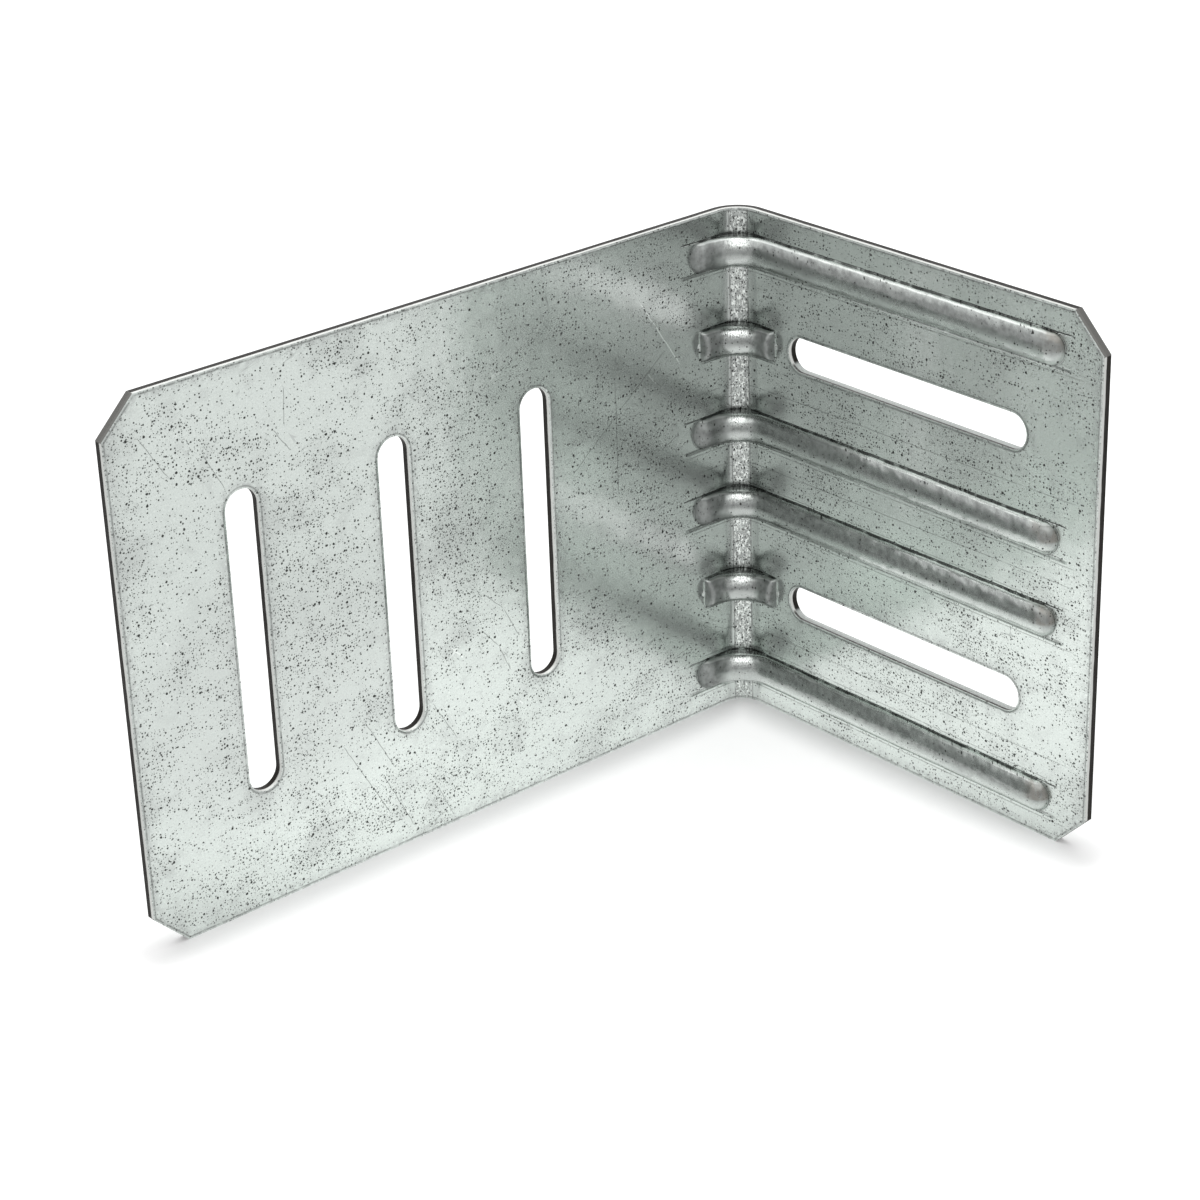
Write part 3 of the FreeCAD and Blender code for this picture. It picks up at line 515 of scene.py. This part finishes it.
def makeShortBead(name, height):
    sizes = ("halfHeight", "turn", "reach", "into", "endRound", "rise", "near")
    half, turn, reach, into, rounding, rise, near = (shortBead[key] / 1000 for key in sizes)
    corner = Vector(clip["corner"]) + Vector((0.0, 0.0, height / 1000))
    centre = half - rise
    axis = corner + Vector((-turn, -turn, 0.0))
    # the section: half a circle on two walls that lead into the sheet, swept round the fold
    bpy.ops.mesh.primitive_circle_add(vertices=shortBead["circlePoints"], radius=half,
                                      location=corner + Vector((centre, -turn, 0.0)),
                                      rotation=(math.pi / 2, 0.0, 0.0))
    bead = bpy.context.object
    bead.name = name
    bpy.ops.object.transform_apply(location=True, rotation=True, scale=True)
    bpy.ops.object.mode_set(mode="EDIT")
    selectInEdit(bead, "VERT", lambda point: point.co.x > corner.x + centre + near)
    bpy.ops.mesh.delete(type="VERT")
    selectInEdit(bead, "VERT", lambda point: len(point.link_edges) == 1)
    bpy.ops.mesh.extrude_region_move(TRANSFORM_OT_translate={"value": (into - centre, 0.0, 0.0)})
    bpy.ops.mesh.edge_face_add()
    bpy.ops.mesh.select_all(action="SELECT")
    bpy.ops.mesh.spin(steps=shortBead["steps"], angle=-math.pi / 2, center=axis, axis=(0.0, 0.0, 1.0))
    # steep ends with a round rim
    ends = (Vector((0.0, -1.0, 0.0)), Vector((-1.0, 0.0, 0.0)))
    for direction in ends:
        selectInEdit(bead, "VERT", lambda point: (point.co - corner).dot(direction) > turn - near)
        bpy.ops.mesh.edge_face_add()
    bpy.ops.mesh.select_all(action="SELECT")
    bpy.ops.mesh.normals_make_consistent(inside=False)
    for direction in ends:
        selectInEdit(bead, "FACE", lambda face: len(face.verts) > 10 and face.normal.dot(direction) > 0.9)
        bpy.ops.mesh.extrude_region_move(
            TRANSFORM_OT_translate={"value": (reach - rounding - turn) * direction})
        across = Vector((-direction.y, -direction.x, 0.0))
        size, reached = half, 0.0
        for step in range(1, shortBead["roundSteps"] + 1):
            angle = step / shortBead["roundSteps"] * math.pi / 2
            ahead = rounding * math.sin(angle)
            narrower = half - rounding * (1 - math.cos(angle))
            bpy.ops.mesh.extrude_region_move(
                TRANSFORM_OT_translate={"value": (ahead - reached) * direction})
            ratio = narrower / size
            bpy.ops.transform.resize(value=(ratio, ratio, ratio), orient_type="GLOBAL",
                                     center_override=corner + (reach - rounding + ahead) * direction
                                     + centre * across)
            size, reached = narrower, ahead
    # the side in the sheet is opened, and what stays becomes a thin closed shell
    selectInEdit(bead, "FACE", lambda face: isAtBack(face, axis, turn + into))
    bpy.ops.mesh.delete(type="FACE")
    bpy.ops.object.mode_set(mode="OBJECT")
    shell = bead.modifiers.new("shell", "SOLIDIFY")
    shell.thickness = shortBead["wall"] / 1000
    shell.offset = -1.0
    bpy.ops.object.modifier_apply(modifier="shell")
    bpy.ops.object.shade_smooth_by_angle(angle=math.radians(shortBead["smoothBelow"]))
    bead.data.materials.append(finish)
    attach(bead, "root")
    bead.select_set(False)
    print(name, "shell of", len(bead.data.polygons), "faces")


for name, height in shortBead["rows"].items():
    makeShortBead(name, height)

# the photograph's camera: its direction in degrees, its lens and sensor in millimetres, and in metres how
# far it stands from the fold's inner corner and how far that corner lies off the middle of the picture
camera = {"azimuth": -40.204, "elevation": 25.421, "roll": -2.022, "side": 0.02852, "rise": -0.01865,
          "distance": 0.60167, "lens": 90.64, "sensor": 36.0, "nearest": 0.01}


def makeCamera():
    a, e, roll = (math.radians(camera[key]) for key in ("azimuth", "elevation", "roll"))
    back = Vector((math.sin(a) * math.cos(e), -math.cos(a) * math.cos(e), math.sin(e)))
    level = Vector((math.cos(a), math.sin(a), 0.0))
    above = back.cross(level)
    right = math.cos(roll) * level + math.sin(roll) * above
    up = math.cos(roll) * above - math.sin(roll) * level
    aside = camera["side"] * right + camera["rise"] * up
    place = Vector(clip["corner"]) + camera["distance"] * back - aside
    data = bpy.data.cameras.new("photoCamera")
    data.sensor_width = camera["sensor"]
    data.lens = camera["lens"]
    data.clip_start = camera["nearest"]
    eye = bpy.data.objects.new("photoCamera", data)
    eye.matrix_world = Matrix.Translation(place) @ Matrix((right, up, back)).transposed().to_4x4()
    scene.collection.objects.link(eye)
    scene.camera = eye


makeCamera()
print("camera set")

# white sweep and soft lamps: energy in watts, sizes and places in metres. The floor glows for the camera
# from footGlow at the legs up to floorGlow, a painted contact shadow, and for reflections from poolGlow
# round the pool's centre down to mirrorGlow, a painted pool of light. The world lights the rest with
# worldLight, and is white to the camera and in reflections
studio = {"floor": 6.0, "floorColour": (0.80, 0.80, 0.80, 1.0), "floorRoughness": 0.9,
          "floorGlow": 0.52, "footGlow": 0.2, "footRange": (0.0005, 0.0095),
          "mirrorGlow": 0.28, "poolGlow": 0.69, "poolRange": (0.035, 0.115),
          "poolCentre": (0.02, 0.03, 0.0), "worldLight": 0.5,
          "white": (1.0, 1.0, 1.0, 1.0), "aim": (0.0, 0.0, 0.05),
          "lamps": {"overhead": ((0.0, 0.1, 1.4), (2.2, 2.2), 15.0),
                    "behindSoft": ((0.5, 1.2, 1.1), (1.4, 1.4), 4.0)}}


def makeStudio():
    bpy.ops.mesh.primitive_plane_add(size=studio["floor"], location=(0.0, 0.0, 0.0))
    floor = bpy.context.object
    floor.name = "floor"
    material = bpy.data.materials.new("whiteSweep")
    material.use_nodes = True
    tree = material.node_tree
    shader = tree.nodes["Principled BSDF"]
    shader.inputs["Base Color"].default_value = studio["floorColour"]
    shader.inputs["Roughness"].default_value = studio["floorRoughness"]
    shader.inputs["Specular IOR Level"].default_value = 0.0
    shader.inputs["Emission Color"].default_value = studio["white"]
    ray = tree.nodes.new("ShaderNodeLightPath").outputs
    ground = tree.nodes.new("ShaderNodeTexCoord").outputs["Object"]
    # a painted pool of light round the pool's centre, seen only in reflections
    off = addNode(tree, "ShaderNodeVectorMath", {"operation": "DISTANCE"})
    tree.links.new(ground, off.inputs[0])
    off.inputs[1].default_value = studio["poolCentre"]
    pool = ramp(tree, off.outputs["Value"], *studio["poolRange"], studio["poolGlow"],
                studio["mirrorGlow"])
    mirrored = calc(tree, "MAXIMUM", ray["Is Glossy Ray"], ray["Is Transmission Ray"])
    # a painted contact shadow: the floor seen by the camera is darker within a few millimetres of the two
    # legs
    part = addNode(tree, "ShaderNodeSeparateXYZ", Vector=ground).outputs
    gaps = []
    for run, across, end in ((0, 1, "longEnd"), (1, 0, "shortEnd")):
        half = -clip[end] / 2000
        over = calc(tree, "SUBTRACT", part[run], clip["corner"][run] - half)
        past = calc(tree, "MAXIMUM", calc(tree, "SUBTRACT", calc(tree, "ABSOLUTE", over), half), 0.0)
        beside = calc(tree, "SUBTRACT", part[across], clip["corner"][across])
        squares = calc(tree, "ADD", times(tree, past, past), times(tree, beside, beside))
        gaps.append(calc(tree, "SQRT", squares))
    gap = calc(tree, "MINIMUM", *gaps)
    seen = times(tree, ray["Is Camera Ray"],
                 ramp(tree, gap, *studio["footRange"], studio["footGlow"], studio["floorGlow"]))
    glow = calc(tree, "ADD", seen, times(tree, mirrored, pool))
    tree.links.new(glow, shader.inputs["Emission Strength"])
    floor.data.materials.append(material)
    for name, (place, size, energy) in studio["lamps"].items():
        data = bpy.data.lights.new(name, "AREA")
        data.shape = "RECTANGLE"
        data.size, data.size_y = size
        data.energy = energy
        lamp = bpy.data.objects.new(name, data)
        lamp.location = place
        lamp.rotation_euler = (Vector(studio["aim"]) - Vector(place)).to_track_quat("-Z", "Y").to_euler()
        scene.collection.objects.link(lamp)
    world = bpy.data.worlds.new("whiteStudio")
    world.use_nodes = True
    scene.world = world
    tree = world.node_tree
    ray = tree.nodes.new("ShaderNodeLightPath").outputs
    seen = calc(tree, "MAXIMUM", ray["Is Camera Ray"], calc(tree, "MAXIMUM", ray["Is Glossy Ray"],
                                                            ray["Is Transmission Ray"]))
    dim = studio["worldLight"]
    background = tree.nodes["Background"]
    tree.links.new(calc(tree, "MULTIPLY_ADD", seen, 1.0 - dim, dim), background.inputs["Strength"])
    background.inputs["Color"].default_value = studio["white"]
    scene.view_settings.view_transform = "Standard"


makeStudio()
print("studio set")
